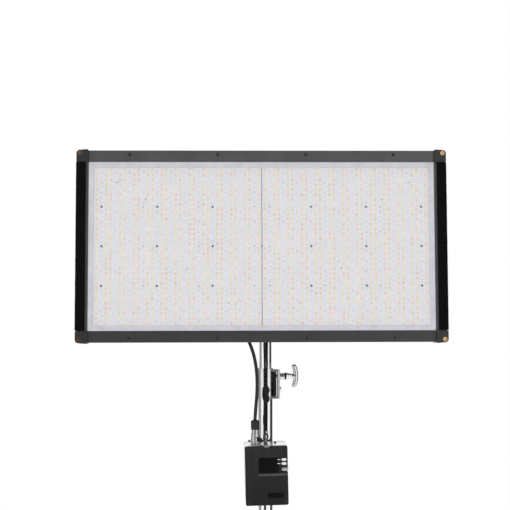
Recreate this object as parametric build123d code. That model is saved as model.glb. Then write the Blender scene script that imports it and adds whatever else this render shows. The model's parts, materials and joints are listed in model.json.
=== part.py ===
from build123d import *
import math
import os

# LED panel light on its stand column. Millimetres, +Z up, light faces -Y.
# The origin is the seat face of the column's base pin, on the column's axis.

# ---- driving dimensions -------------------------------------------------

# stand column and riser
PIN_R = 14.3               # 1-1/8 inch stand pin
PIN_LENGTH = 80.0
COLUMN_R = 20.5
COLUMN_BORE_R = 18.6
COLUMN_TOP = 399.6
RISER_R = 17.5
RISER_BORE_R = 15.5
RISER_BOTTOM = 90.0
RISER_TOP = 690.0
STUD_R = 8.0               # 16 mm stud on top of the riser
STUD_TOP = 758.0

# collar at the top of the column, with its clamp
COLLAR_R = 22.0
COLLAR_BOTTOM = 353.5
COLLAR_TOP = 438.5
BUSHING_R = 19.36
RUN_FIT = 0.06             # radial clearance of a running fit
SCREW_Z = 415.7
RIVET_Z = 379.0
SCREW_R = 5.0

# panel, in its own frame: x from its centre, y back from its front, z from its centre
FRAME_HALF_W = 497.0
FRAME_HALF_H = 258.6
FRAME_DEPTH = 48.0
LIP_HALF_W = 466.15
LIP_HALF_H = 227.3
WALL = 2.5
CAP_HALF_W = 499.0
CAP_HALF_H = 261.5
CAP_INNER_X = 466.3
CAP_INNER_Z = 228.0
CAP_FRONT = -6.0
TAPE = 3.0
BOARD_FRONT = 12.0
BOARD_T = 1.6
BOARD_HALF_W = 452.0
BOARD_HALF_H = 213.0
LED_PITCH_X = 12.46
LED_PITCH_Z = 13.35
LED_FIRST_X = 8.5          # first column from the seam between the boards
SPREADER_FRONT = 13.8
PANEL_X = -12.6            # panel centre, from the column's axis
AXIS_DEPTH = 78.0          # tilt axis, back from the panel's front
AXIS_Y = -50.0
AXIS_Z = 775.0
TILT = 4.02                # the panel leans back at rest
EAR_IN = 20.3
EAR_OUT = 26.3
EAR_X = -PANEL_X

# control box, in its own frame: x from its centre, y back from its front
BOX_W = 116.5
BOX_H = 161.0
BOX_D = 72.0
BOX_TOP = BOX_H / 2
PLATE_T = 6.0
BAY_DEPTH = 3.5
BOX_CENTRE = (-0.5, -63.0, 156.4)
BOX_YAW = 1.0
BOX_ROLL = -1.2
SOCKET_X = -27.2
SOCKET_Y = 39.3
LUG_X = 1.1                # the lug sits under the hook
POWER_X = 27.5
POWER_Y = 48.0
KNOB_Y = 9.5
KNOB_Z = 15.4
KNOB_R = 5.9
BUTTONS = {"up_button": (48.2, 42.6), "down_button": (48.0, 31.6)}

# lanyard
HANG_X = -0.8
HANG_Y = -60.0
PEG_Z = 705.0
PEG_R = 4.0
WEB_W = 10.0
WEB_T = 1.6
HOOK_X = HANG_X - 0.3
HOOK_Z = 252.6
GATE_X = HOOK_X - 5.7      # hinge of the hook's gate
GATE_Z = 257.2

# cable from the panel's gland to the control box's connector
CABLE_R = 4.6
CABLE_ROUTE = [
    (-120, -50, 775), (-162, -50, 775), (-198, -50, 750), (-212, -50, 708),
    (-196, -50, 664), (-165, -51, 626), (-126, -52, 592), (-88, -54, 561),
    (-56, -56, 528), (-37.5, -58, 492), (-27.5, -59, 452), (-24.4, -59.5, 412),
    (-25.2, -60, 372), (-28.6, -60.2, 335), (-30.9, -60.2, 301.3),
]

# ---- helpers --------------------------------------------------------------


def block(x0, x1, y0, y1, z0, z1):
    """A box between two corners."""
    centre = Pos((x0 + x1) / 2, (y0 + y1) / 2, (z0 + z1) / 2)
    return centre * Box(x1 - x0, y1 - y0, z1 - z0)


def rod_x(radius, x0, x1, y, z):
    return Pos((x0 + x1) / 2, y, z) * Rot(0, 90, 0) * Cylinder(radius, x1 - x0)


def rod_y(radius, y0, y1, x, z):
    return Pos(x, (y0 + y1) / 2, z) * Rot(90, 0, 0) * Cylinder(radius, y1 - y0)


def rod_z(radius, z0, z1, x=0.0, y=0.0):
    return Pos(x, y, (z0 + z1) / 2) * Cylinder(radius, z1 - z0)


def plate_y(outline, y0, y1, x=0.0, z=0.0):
    """A sketch drawn in X and Z, extruded from y0 back to y1."""
    return extrude(Plane.XZ.offset(-y0) * Pos(x, z) * outline, amount=-(y1 - y0))


def group(pieces):
    """Several separate solids as one node."""
    return Compound(children=[solid for piece in pieces for solid in piece.solids()])


def round_vertex(face, point, radius):
    corner = min(face.vertices(), key=lambda v: (Vector(*v) - Vector(*point)).length)
    return fillet(corner, radius)


def save(name, shape, place=None):
    export_step(shape if place is None else place * shape, f"parts/{name}.step")


PANEL = Pos(0, AXIS_Y, AXIS_Z) * Rot(-TILT, 0, 0) * Pos(PANEL_X, -AXIS_DEPTH, 0)
CONTROL = Pos(*BOX_CENTRE) * Rot(0, 0, BOX_YAW) * Rot(0, BOX_ROLL, 0) * Pos(0, -BOX_D / 2, 0)

# ---- stand column -------------------------------------------------------


def base_pin():
    pin = rod_z(PIN_R, -PIN_LENGTH, 0) + rod_z(COLUMN_BORE_R - 0.03, 0, 40)
    pin -= rod_z(PIN_R + 1, -70, -62) - rod_z(12, -70, -62)
    return chamfer(pin.edges().sort_by(Axis.Z)[0], 2)


def collar_sleeve():
    sleeve = rod_z(COLLAR_R, COLLAR_BOTTOM, COLLAR_TOP)
    sleeve -= rod_z(COLUMN_R + 0.04, COLLAR_BOTTOM, COLUMN_TOP + 0.2)
    sleeve -= rod_z(BUSHING_R + 0.04, COLUMN_TOP, 434)
    sleeve -= rod_z(RISER_R + 0.4, 434, COLLAR_TOP)
    for seam in (357.7, 396.5, 431.9):
        groove = rod_z(COLLAR_R + 1, seam - 0.5, seam + 0.5)
        sleeve -= groove - rod_z(COLLAR_R - 0.5, seam - 0.5, seam + 0.5)
    return sleeve - rod_x(6.6, 10, 30, 0, SCREW_Z)


def clamp_block():
    """Casting beside the collar: two lips, an outer wall and the screw boss."""
    body = block(15, 40.2, -14, 14, 354, 436)
    body = fillet(body.edges().filter_by(Axis.Z).group_by(Axis.X)[-1], 4)
    body -= block(10, 32.3, -15, 15, 360, 430)
    body += rod_x(10.5, 39, 53.4, 0, SCREW_Z)
    body -= rod_z(COLLAR_R + 0.02, 350, 440) + rod_x(3.1, 30, 42, 0, RIVET_Z)
    return body - rod_x(SCREW_R + RUN_FIT, 30, 60, 0, SCREW_Z)


def brake_shoe():
    """Black shoe in the clamp's window, with a nose that presses on the riser."""
    shoe = block(12, 30.4, -14.6, 14.6, 399, 428.5) + block(20.6, 30.4, -14.6, 14.6, 361.5, 400)
    shoe -= rod_z(COLLAR_R + 0.3, 350, 440)
    shoe += rod_x(6.5, 14, 24, 0, SCREW_Z)
    return shoe - rod_z(RISER_R + 0.3, 400, 440)


def t_handle():
    """Round hub that flares into a bowed crossbar."""
    arc = ThreePointArc((80.5, 0, SCREW_Z - 27), (85.5, 0, SCREW_Z), (80.5, 0, SCREW_Z + 27))
    section = Plane(origin=arc @ 0, z_dir=arc % 0) * Circle(6.8)
    handle = sweep(section, path=arc)
    for end in (arc @ 0, arc @ 1):
        handle += Pos(*end) * Sphere(6.8)
    flare = Pos(66.5, 0, SCREW_Z) * Rot(0, 90, 0) * Cone(10.5, 7.2, 16)
    handle += flare + rod_x(7.2, 74, 84, 0, SCREW_Z)
    return handle - rod_x(SCREW_R, 58, 76, 0, SCREW_Z)


def make_column():
    save("base_pin", base_pin())
    save("column_tube", rod_z(COLUMN_R, 0, COLUMN_TOP) - rod_z(COLUMN_BORE_R, 0, COLUMN_TOP))
    save("collar_sleeve", collar_sleeve())
    save("clamp_block", clamp_block())
    rivet = rod_x(8.4, 40.25, 44.4, 0, RIVET_Z)
    rivet = fillet(rivet.edges().sort_by(Axis.X)[-1], 3.6) + rod_x(3, 32.4, 41, 0, RIVET_Z)
    save("collar_rivet", rivet)
    bushing = rod_z(BUSHING_R, 400.2, 433.8) - rod_z(RISER_R + RUN_FIT, 400, 434)
    save("riser_bushing", bushing - rod_x(6.8, 10, 25, 0, SCREW_Z))
    save("brake_shoe", brake_shoe())
    washer = rod_x(9.5, 53.6, 58.4, 0, SCREW_Z) - rod_x(SCREW_R + RUN_FIT, 53, 59, 0, SCREW_Z)
    save("handle_washer", washer)
    save("t_handle", t_handle())
    save("clamp_screw", rod_x(SCREW_R, 30.5, 76, 0, SCREW_Z))


def make_riser():
    tube = rod_z(RISER_R, RISER_BOTTOM, RISER_TOP) - rod_z(RISER_BORE_R, RISER_BOTTOM, RISER_TOP)
    save("riser_tube", tube)
    stud = rod_z(RISER_BORE_R - 0.03, 650, RISER_TOP) + rod_z(RISER_R, RISER_TOP, 696)
    stud += rod_z(STUD_R, 696, STUD_TOP)
    stud = chamfer(stud.edges().sort_by(Axis.Z)[-1], 1.2)
    save("riser_stud", stud - (rod_z(STUD_R + 1, 722, 738) - rod_z(7.2, 722, 738)))


# ---- tilting head -----------------------------------------------------------


def receiver():
    """Barrel over the stud, with a web forward to the tilting tongue."""
    body = rod_z(17, 697, 784) + block(-14, 14, -50, 0, 755, 784)
    body += rod_x(12.5, -19.8, 19.8, AXIS_Y, AXIS_Z)
    body -= rod_z(STUD_R + RUN_FIT, 696, STUD_TOP + 1.5)
    body -= rod_x(SCREW_R + RUN_FIT, -25, 25, AXIS_Y, AXIS_Z)
    body -= rod_y(4.1, 5, 20, 0, 730)
    return body - rod_y(PEG_R, -20, -12, 0, PEG_Z)


def lock_knob():
    """Star knob and the screw that locks the head on the stud."""
    knob = rod_y(15, 24, 46, 0, 730)
    for step in range(6):
        angle = math.radians(60 * step)
        knob -= rod_y(5, 23, 47, 17.5 * math.cos(angle), 730 + 17.5 * math.sin(angle))
    return knob + rod_y(4.0, 7.6, 25, 0, 730)


def tilt_lever():
    """Clamping lever on the right end of the tilt bolt."""
    lever = rod_x(11, 27.3, 44, AXIS_Y, AXIS_Z)
    lever += Pos(0, AXIS_Y, AXIS_Z) * Rot(-35, 0, 0) * block(36, 44, 0, 66, -6, 6)
    lever += Pos(0, AXIS_Y, AXIS_Z) * Rot(-35, 0, 0) * rod_x(8, 35, 45, 66, 0)
    return lever - rod_x(SCREW_R + RUN_FIT, 26, 40, AXIS_Y, AXIS_Z)


def make_head():
    save("receiver", receiver())
    save("lock_knob", lock_knob())
    save("tilt_lever", tilt_lever())
    peg = rod_y(PEG_R, -68, -12, 0, PEG_Z) + rod_y(7, -70, -68, 0, PEG_Z)
    save("lanyard_peg", peg)


# ---- lanyard ------------------------------------------------------------------


def strap_loop():
    """Webbing over the peg whose two flat strands run side by side to the buckle."""
    inner = PEG_R + 0.3
    outer = inner + WEB_T
    loop = rod_y(outer, HANG_Y - 3, HANG_Y + 3, 0, PEG_Z) - rod_y(inner, HANG_Y - 4, HANG_Y + 4, 0, PEG_Z)
    loop -= block(-10, 10, HANG_Y - 4, HANG_Y + 4, PEG_Z - 12, PEG_Z)
    for side in (-1, 1):
        leg = Polyline((side * inner, PEG_Z), (side * outer, PEG_Z), (side * 7.8, PEG_Z - 25),
                       (HANG_X + side * 5, 398), (HANG_X + side * 0.3, 398),
                       (side * 0.5, PEG_Z - 25), (side * 0.5, PEG_Z - 12), close=True)
        loop += plate_y(make_face(leg), HANG_Y - 1.2, HANG_Y + 1.2)
    return loop


def make_lanyard():
    save("strap_loop", strap_loop())
    socket = block(-11.3, 10.2, -65.5, -54.5, 349.6, 376)
    socket = fillet(socket.edges().filter_by(Axis.Z), 3)
    plug = block(-9.5, 8.4, -64.5, -55.5, 376.1, 397.9)
    save("buckle", group([socket, fillet(plug.edges().filter_by(Axis.Z), 2)]))
    strap = block(HANG_X - 5, HANG_X + 5, -60.8, -59.2, 273.1, 349.5)
    strap += block(HANG_X - 5, HANG_X + 5, -61.6, -58.4, 273.1, 292)
    save("lower_strap", strap)

    save("snap_hook", snap_hook())
    gate = rod_z(1.3, 250.6, GATE_Z, GATE_X, HANG_Y)
    save("hook_gate", gate + rod_y(1.5, -61.6, -58.4, GATE_X, GATE_Z))


def snap_hook():
    """Diamond plate with a long eye that the lug's pin passes through, open at the gate."""
    outline = Polyline(
        (0, -12.2), (4.6, -8.5), (7.5, 2.5), (7.8, 6), (4.5, 11), (-4.5, 11), (-7.2, 5),
        (-7.2, 1), (-4.6, -8.5), close=True)
    hook = plate_y(make_face(outline), -62, -58, HOOK_X, HOOK_Z)
    hook -= plate_y(Rot(0, 0, 90) * SlotOverall(17, 5.8), -63, -57, HOOK_X, HOOK_Z)
    hook += block(HOOK_X - 5.7, HOOK_X + 5.7, -62, -58, HOOK_Z + 10, 273)
    hook -= block(HOOK_X - 3.7, HOOK_X + 3.7, -63, -57, 266, 270.5)
    return hook - block(HOOK_X - 9, HOOK_X - 2.8, -63, -57, 250, 259)


# ---- cable and its connector ---------------------------------------------


def corner_radii(points):
    """Radius at each inner point: 0.45 of the shorter run over tan(half turn)."""
    radii = []
    for a, b, c in zip(points, points[1:], points[2:]):
        before, after = Vector(*b) - Vector(*a), Vector(*c) - Vector(*b)
        half_turn = math.radians(before.get_angle(after)) / 2
        radii.append(0.45 * min(before.length, after.length) / math.tan(half_turn))
    return radii


def make_cable():
    radii = corner_radii(CABLE_ROUTE)
    path = FilletPolyline(*CABLE_ROUTE, radius=radii)
    section = Plane(origin=path @ 0, z_dir=path % 0) * Circle(CABLE_R)
    cable = sweep(section, path=path)
    expected = math.pi * CABLE_R ** 2 * path.length
    print("cable radii", [round(r) for r in radii])
    print("cable length", round(path.length, 1), "volume ratio", round(cable.volume / expected, 5))
    save("cable", cable)

    top = BOX_TOP
    boot = rod_z(11.5, top + 40, top + 65.5, SOCKET_X, SOCKET_Y)
    boot = fillet(boot.edges().sort_by(Axis.Z)[-1], 5)
    boot -= rod_z(CABLE_R + 0.5, top + 61, top + 66, SOCKET_X, SOCKET_Y)
    save("connector_boot", boot, CONTROL)
    sleeve = rod_z(10.2, top + 30, top + 40, SOCKET_X, SOCKET_Y)
    sleeve += rod_z(8.4, top + 6, top + 30, SOCKET_X, SOCKET_Y)
    sleeve -= block(SOCKET_X - 1.5, SOCKET_X + 1.5, 25, 32.5, top + 32, top + 40)
    save("connector_sleeve", sleeve, CONTROL)
    ring = Pos(SOCKET_X, SOCKET_Y, top + 17.7) * Cone(13.2, 11.2, 24)
    for step in range(24):
        angle = math.radians(15 * step)
        x = SOCKET_X + 13.4 * math.cos(angle)
        y = SOCKET_Y + 13.4 * math.sin(angle)
        ring -= rod_z(0.9, top + 5, top + 31, x, y)
    ring -= rod_z(8.4 + RUN_FIT, top + 5, top + 31, SOCKET_X, SOCKET_Y)
    save("coupling_ring", ring, CONTROL)
    flange = plate_top(27, 27, 3, 0, 2.4) + rod_z(12.6, top, top + 5.2, SOCKET_X, SOCKET_Y)
    flange += rod_z(9, top - 18, top, SOCKET_X, SOCKET_Y) + rod_z(6, top, top + 5.9, SOCKET_X, SOCKET_Y)
    save("socket_flange", flange, CONTROL)
    latch = block(SOCKET_X + 14.4, SOCKET_X + 19, SOCKET_Y - 3, SOCKET_Y + 3, top + 2.7, top + 14)
    save("latch_lever", fillet(latch.edges().filter_by(Axis.Y), 1.2), CONTROL)


def plate_top(width, depth, corner, z0, z1):
    """A rounded plate on the control box's top, round the connector."""
    outline = Pos(SOCKET_X, SOCKET_Y, BOX_TOP + z0) * RectangleRounded(width, depth, corner)
    return extrude(outline, amount=z1 - z0)


# ---- control box --------------------------------------------------------------


def front_plate():
    plate = plate_y(RectangleRounded(BOX_W, BOX_H, 5), 0, PLATE_T)
    bay = Polyline((-1, -5.6), (BAY_DEPTH, 4.6), (BAY_DEPTH, 49), (-1, 49), close=True)
    plate -= Pos(-22.5, 0, 0) * extrude(make_face(Plane.YZ * bay), amount=90)
    plate -= block(41, 60, -1, 8, KNOB_Z - 7, KNOB_Z + 7)
    plate -= plate_y(RectangleRounded(54.2, 42.2, 1.6), BAY_DEPTH - 1, BAY_DEPTH + 1.2, 7.1, 27)
    for x, z in BUTTONS.values():
        plate -= plate_y(SlotOverall(13.7, 7.2), 0, PLATE_T + 1, x, z)
    for x, z in plate_screw_places():
        plate -= rod_y(3.2, -1, 2.2, x, z) + rod_y(1.6, 0, 7, x, z)
    return plate


def plate_screw_places():
    return [(sx * 50.8, sz * 73.6) for sx in (-1, 1) for sz in (-1, 1)]


def housing():
    shell = plate_y(RectangleRounded(BOX_W - 0.5, BOX_H - 0.4, 4.8), PLATE_T, BOX_D - 4)
    shell -= plate_y(RectangleRounded(BOX_W - 5.5, BOX_H - 5.4, 2.5), PLATE_T - 1, BOX_D)
    for x, z in plate_screw_places():
        shell += rod_y(4.5, PLATE_T, BOX_D - 4, x, z) - rod_y(1.6, PLATE_T - 1, BOX_D, x, z)
    shell -= block(41, 60, 5, 16.5, KNOB_Z - 7, KNOB_Z + 7)
    shell -= block(40, 55.4, 5, 9.5, 26, 49)
    shell -= rod_z(9.1, 70, 90, SOCKET_X, SOCKET_Y)
    shell -= rod_z(3.2, 70, 90, POWER_X, POWER_Y)
    return shell - rod_z(9.6, -90, -70, 0, 36)


def lug():
    """Folded strap over the box's top, with a headed pin for the hook."""
    z0 = BOX_TOP + 0.05
    half = 7.5
    body = block(LUG_X - half, LUG_X + half, -1.8, 52, z0, z0 + 1.8)
    tongue = block(LUG_X - half, LUG_X + half, -1.8, -0.05, BOX_TOP - 3, z0 + 1)
    body += fillet(tongue.edges().filter_by(Axis.Y).group_by(Axis.Z)[0], 3)
    body += block(LUG_X - 5, LUG_X + 5, 46, 49, z0 + 1, z0 + 13)
    pin = rod_y(2.2, 31, 47, LUG_X, BOX_TOP + 9.5)
    return body + pin + rod_y(3, 29.6, 31.2, LUG_X, BOX_TOP + 9.5)


def circuit_boards():
    """Control board with its switches and dial encoder, and the supply board."""
    control = block(-48, 48, 20, 21.6, -68, 68)
    for x, z in BUTTONS.values():
        control += block(x - 3, x + 3, 8.6, 20.5, z - 3, z + 3)
    control += block(29, 40.4, 6.6, 20.5, KNOB_Z - 5, KNOB_Z + 4.5)
    control += rod_x(3, 40, 52, KNOB_Y, KNOB_Z)
    supply = block(-48, 48, 52, 53.6, -58, 56)
    for x in (-30, 0, 30):
        supply += rod_y(8, 54 - 24, 52.5, x, -20)
    return group([control, supply])


def encoder_knob():
    knob = rod_x(KNOB_R, 42.2, 59.1, KNOB_Y, KNOB_Z)
    for step in range(20):
        angle = math.radians(18 * step)
        y = KNOB_Y + (KNOB_R + 0.2) * math.cos(angle)
        z = KNOB_Z + (KNOB_R + 0.2) * math.sin(angle)
        knob -= rod_x(0.6, 42, 60, y, z)
    return knob - rod_x(3 + RUN_FIT, 42, 53, KNOB_Y, KNOB_Z)


def dc_inlet():
    inlet = rod_z(9.5, -BOX_TOP, -62, 0, 36) + block(-13, 13, 23, 49, -BOX_TOP - 2, -BOX_TOP)
    inlet -= rod_z(8, -85, -66, 0, 36)
    for sx in (-3.5, 3.5):
        for sy in (-3.5, 3.5):
            inlet += rod_z(0.9, -70, -65, sx, 36 + sy)
    return inlet


def make_control_box():
    save("control_housing", housing(), CONTROL)
    save("front_plate", front_plate(), CONTROL)
    rear = plate_y(RectangleRounded(BOX_W, BOX_H, 5), BOX_D - 4, BOX_D)
    for x, z in plate_screw_places():
        rear -= rod_y(1.6, 60, 80, x, z)
    save("rear_plate", rear, CONTROL)
    screws = [rod_y(3.0, 0.3, 2.2, x, z) + rod_y(1.5, 2, 20, x, z) for x, z in plate_screw_places()]
    screws += [rod_y(3.0, BOX_D, BOX_D + 1.6, x, z) + rod_y(1.5, 55, BOX_D, x, z)
               for x, z in plate_screw_places()]
    save("plate_screws", group(screws), CONTROL)
    glass = RectangleRounded(54, 42, 1.5)
    save("screen", plate_y(glass, BAY_DEPTH - 0.6, BAY_DEPTH + 1.2, 7.1, 27), CONTROL)
    label = RectangleRounded(43, 15.4, 1)
    save("label_plate", plate_y(label, -0.7, 0, 24.4, -54.4), CONTROL)
    save("strap_lug", lug(), CONTROL)
    save("circuit_boards", circuit_boards(), CONTROL)
    for name, (x, z) in BUTTONS.items():
        cap = plate_y(SlotOverall(13.3, 6.8), 1.4, 6.6, x, z)
        save(name, cap + plate_y(SlotOverall(13.8, 8.8), 6.3, 7.3, x, z), CONTROL)
    power = rod_z(3.1, BOX_TOP - 9, BOX_TOP + 2.6, POWER_X, POWER_Y)
    power += rod_z(4.5, 73, 75, POWER_X, POWER_Y)
    save("power_button", power, CONTROL)
    save("encoder_knob", encoder_knob(), CONTROL)
    save("dc_inlet", dc_inlet(), CONTROL)


# ---- panel ----------------------------------------------------------------------


def rail_outline(half, lip):
    """Channel section as (depth, distance from the centre) pairs."""
    return_depth = 9.0
    return [
        (0, half), (0, lip), (return_depth, lip), (return_depth, lip + 2), (3, lip + 2),
        (3, half - WALL), (FRAME_DEPTH - WALL, half - WALL), (FRAME_DEPTH - WALL, half - 22),
        (FRAME_DEPTH, half - 22), (FRAME_DEPTH, half),
    ]


def long_rail(side):
    """Top or bottom rail, between the corner caps."""
    points = [(y, side * z) for y, z in rail_outline(FRAME_HALF_H, LIP_HALF_H)]
    face = make_face(Plane.YZ * Polyline(*points, close=True))
    face = round_vertex(face, (0, 0, side * FRAME_HALF_H), 2)
    face = round_vertex(face, (0, 0, side * LIP_HALF_H), 1.2)
    rail = extrude(face, amount=CAP_INNER_X - 0.2, both=True)
    for x in rail_screw_places():
        rail -= rod_y(2.5, -1, 1.4, x, side * 247) + rod_y(1.5, 0, 4, x, side * 247)
    return rail


def short_rail(side):
    """Left or right rail, between the corner caps."""
    points = [(side * x, y) for y, x in rail_outline(FRAME_HALF_W, LIP_HALF_W)]
    face = make_face(Polyline(*points, close=True))
    face = round_vertex(face, (side * FRAME_HALF_W, 0, 0), 1.5)
    face = round_vertex(face, (side * LIP_HALF_W, 0, 0), 2)
    return extrude(face, amount=CAP_INNER_Z, both=True)


def rail_screw_places():
    return [-356, -119, 119, 356]


def corner_cap(sx, sz):
    """Cast corner with a sloped front, a screw pocket and a tab into each rail."""
    outline = [
        (CAP_INNER_X, CAP_INNER_Z), (CAP_INNER_X, FRAME_HALF_H), (CAP_INNER_X + 4, CAP_HALF_H),
        (CAP_HALF_W, CAP_HALF_H - 2.6), (CAP_HALF_W, CAP_INNER_Z),
    ]
    face = make_face(Polyline(*[(sx * x, sz * z) for x, z in outline], close=True))
    face = round_vertex(face, (sx * CAP_HALF_W, sz * (CAP_HALF_H - 2.6), 0), 9)
    cap = plate_y(face, CAP_FRONT, 50)
    slope = 0.0227
    start = (sx * CAP_INNER_X, CAP_FRONT, sz * CAP_INNER_Z)
    plane = Plane(origin=start, z_dir=(-slope * sx, 1, -slope * sz))
    cap = split(cap, bisect_by=plane, keep=Keep.TOP)
    cap = chamfer(cap.faces().sort_by(Axis.Y)[0].edges(), 1.2)
    tab_x = sorted((sx * (CAP_INNER_X - 18), sx * (CAP_INNER_X + 1)))
    tab_z = sorted((sz * 240, sz * (FRAME_HALF_H - WALL - 0.5)))
    cap += block(*tab_x, 20, 40, *tab_z)
    tab_x = sorted((sx * 480, sx * 494))
    tab_z = sorted((sz * (CAP_INNER_Z - 18), sz * (CAP_INNER_Z + 1)))
    cap += block(*tab_x, 20, 40, *tab_z)
    return cap - rod_y(5.9, -8, 6, sx * 489, sz * 251)


def corner_screw(sx, sz):
    screw = rod_y(5.85, -5.4, 6, sx * 489, sz * 251)
    return screw - plate_y(RegularPolygon(2.9, 6), -6, -2.6, sx * 489, sz * 251)


def liner():
    """Sloped strips from the frame's lip down to the boards."""
    wide = Plane.XZ.offset(-2.2) * Rectangle(2 * LIP_HALF_W - 0.3, 2 * LIP_HALF_H - 0.3)
    narrow = Plane.XZ.offset(-11.8) * Rectangle(2 * BOARD_HALF_W + 0.4, 2 * BOARD_HALF_H + 0.4)
    ring = block(-466, 466, 2.2, 13.6, -227.15, 227.15) - loft([wide.face(), narrow.face()])
    ring -= block(-BOARD_HALF_W - 0.2, BOARD_HALF_W + 0.2, 11, 14, -BOARD_HALF_H - 0.2, BOARD_HALF_H + 0.2)
    edge_x, edge_z = BOARD_HALF_W + 0.2, BOARD_HALF_H + 0.2
    pieces = []
    for side in (-1, 1):
        z = sorted((side * edge_z, side * 230))
        x = sorted((side * edge_x, side * 470))
        pieces.append(ring & block(-470, 470, 0, 15, *z))
        pieces.append(ring & block(*x, 0, 15, -edge_z, edge_z))
    return group(pieces)


def board_screw_places(side):
    """Three rows of six between the clusters of one board."""
    places = []
    for cluster in (0, 3, 4, 7, 8, 11):
        x = side * (LED_FIRST_X + LED_PITCH_X * (3 * cluster + 1))
        places += [(x, row * 8 * LED_PITCH_Z) for row in (-1, 0, 1)]
    return places


def led_board(side):
    x = sorted((side, side * BOARD_HALF_W))
    board = block(*x, BOARD_FRONT, BOARD_FRONT + BOARD_T, -BOARD_HALF_H, BOARD_HALF_H)
    holes = [rod_y(1.5, 11, 15, hx, hz) for hx, hz in board_screw_places(side)]
    return board - holes


def notched_sheet(y0, y1):
    """Sheet that runs into all four rails and clears the corner caps."""
    sheet = block(-490, 490, y0, y1, -250, 250)
    for sx in (-1, 1):
        for sz in (-1, 1):
            x = sorted((sx * 465.5, sx * 500))
            z = sorted((sz * 227.5, sz * 260))
            sheet -= block(*x, y0 - 1, y1 + 1, *z)
    return sheet


def heat_spreader():
    holes = [rod_y(1.5, 13, 18, x, z) for side in (-1, 1) for x, z in board_screw_places(side)]
    holes += [rod_y(1.5, 13, 18, x, sz * 247) for x in rail_screw_places() for sz in (-1, 1)]
    return notched_sheet(SPREADER_FRONT, SPREADER_FRONT + 3) - holes


def rear_cover():
    slots = [plate_y(SlotOverall(110, 6), 40, 50, x, z)
             for x in (-320, 320) for z in range(-150, 151, 25)]
    return notched_sheet(43.3, 45.3) - slots


def stiffener(x):
    channel = block(x - 15, x + 15, FRAME_DEPTH, 60, -245, 245)
    channel -= block(x - 12.5, x + 12.5, FRAME_DEPTH - 1, 57.5, -246, 246)
    return channel - [rod_y(3.05, 57, 61, x, z) for z in (-28, 28)]


def tilt_bracket():
    bracket = block(-175, 175, 60, 64, -45, 45)
    bracket = fillet(bracket.edges().filter_by(Axis.Y), 8)
    for side in (-1, 1):
        x = sorted((EAR_X + side * EAR_IN, EAR_X + side * EAR_OUT))
        bracket += block(*x, 62, AXIS_DEPTH, -22, 22) + rod_x(22, *x, AXIS_DEPTH, 0)
    bracket -= block(-176, 176, 50, 60, -46, 46)
    bracket -= rod_x(SCREW_R, -40, 60, AXIS_DEPTH, 0)
    holes = [rod_y(3.1, 59, 65, x, z) for x in (-150, 150) for z in (-28, 28)]
    return bracket - holes


def junction_box():
    """Box on the bracket whose left wall carries the gland on the tilt axis."""
    box = fillet(block(-97.4, -47.4, 64.1, 92, -24, 24).edges().filter_by(Axis.X), 3)
    box -= block(-94.9, -49.9, 60, 89.5, -21.5, 21.5)
    return box - rod_x(6, -99, -90, AXIS_DEPTH, 0)


def cable_gland():
    """Gland coaxial with the tilt axis, so the cable only twists."""
    gland = rod_x(8.6, -106, -97.5, AXIS_DEPTH, 0) + rod_x(7.4, -113.4, -106, AXIS_DEPTH, 0)
    gland += rod_x(5.9, -97.5, -93, AXIS_DEPTH, 0)
    return gland - rod_x(CABLE_R + 0.4, -114, -92, AXIS_DEPTH, 0)


def tilt_bolt():
    bolt = rod_x(SCREW_R, EAR_X - 34, EAR_X + 40, AXIS_DEPTH, 0)
    head = extrude(Plane.YZ.offset(EAR_X - 34) * Pos(AXIS_DEPTH, 0) * RegularPolygon(9, 6), amount=7)
    return bolt + head


def make_panel():
    for name, side in (("top_rail", 1), ("bottom_rail", -1)):
        save(name, long_rail(side), PANEL)
    for name, side in (("left_rail", -1), ("right_rail", 1)):
        save(name, short_rail(side), PANEL)
    corners = [(sx, sz) for sx in (-1, 1) for sz in (-1, 1)]
    save("corner_caps", group([corner_cap(*c) for c in corners]), PANEL)
    save("corner_screws", group([corner_screw(*c) for c in corners]), PANEL)
    screws = [rod_y(2.4, -0.8, 1.4, x, sz * 247) + rod_y(1.4, 1, 16.5, x, sz * 247)
              for x in rail_screw_places() for sz in (-1, 1)]
    save("rail_screws", group(screws), PANEL)
    tape_end = CAP_INNER_Z - 1.5
    tapes = []
    for side in (-1, 1):
        front = sorted((side * 473.5, side * (FRAME_HALF_W + TAPE)))
        edge = sorted((side * FRAME_HALF_W, side * (FRAME_HALF_W + TAPE)))
        tape = block(*front, -TAPE, 0, -tape_end, tape_end)
        tapes.append(tape + block(*edge, -TAPE, 44, -tape_end, tape_end))
    save("loop_tapes", group(tapes), PANEL)
    save("white_liner", liner(), PANEL)
    save("led_board_left", led_board(-1), PANEL)
    save("led_board_right", led_board(1), PANEL)
    places = board_screw_places(-1) + board_screw_places(1)
    screws = [rod_y(2.4, 10.8, 12, x, z) + rod_y(1.45, 11.5, 16.5, x, z) for x, z in places]
    save("board_screws", group(screws), PANEL)
    save("heat_spreader", heat_spreader(), PANEL)
    save("rear_cover", rear_cover(), PANEL)
    save("rear_stiffeners", group([stiffener(-150), stiffener(150)]), PANEL)
    save("tilt_bracket", tilt_bracket(), PANEL)
    bolts = [rod_y(6, 64, 69, x, z) + rod_y(3, 57.5, 64, x, z) for x in (-150, 150) for z in (-28, 28)]
    save("bracket_bolts", group(bolts), PANEL)
    save("junction_box", junction_box(), PANEL)
    save("cable_gland", cable_gland(), PANEL)
    save("tilt_bolt", tilt_bolt(), PANEL)


os.makedirs("parts", exist_ok=True)
make_column()
make_riser()
make_head()
make_lanyard()
make_cable()
make_control_box()
make_panel()
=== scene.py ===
"""Looks of a two-board LED panel light on a chromed stand column, built round its CAD frame."""

import json
import math
import random

import bmesh
import bpy
from mathutils import Matrix, Vector, noise

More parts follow.
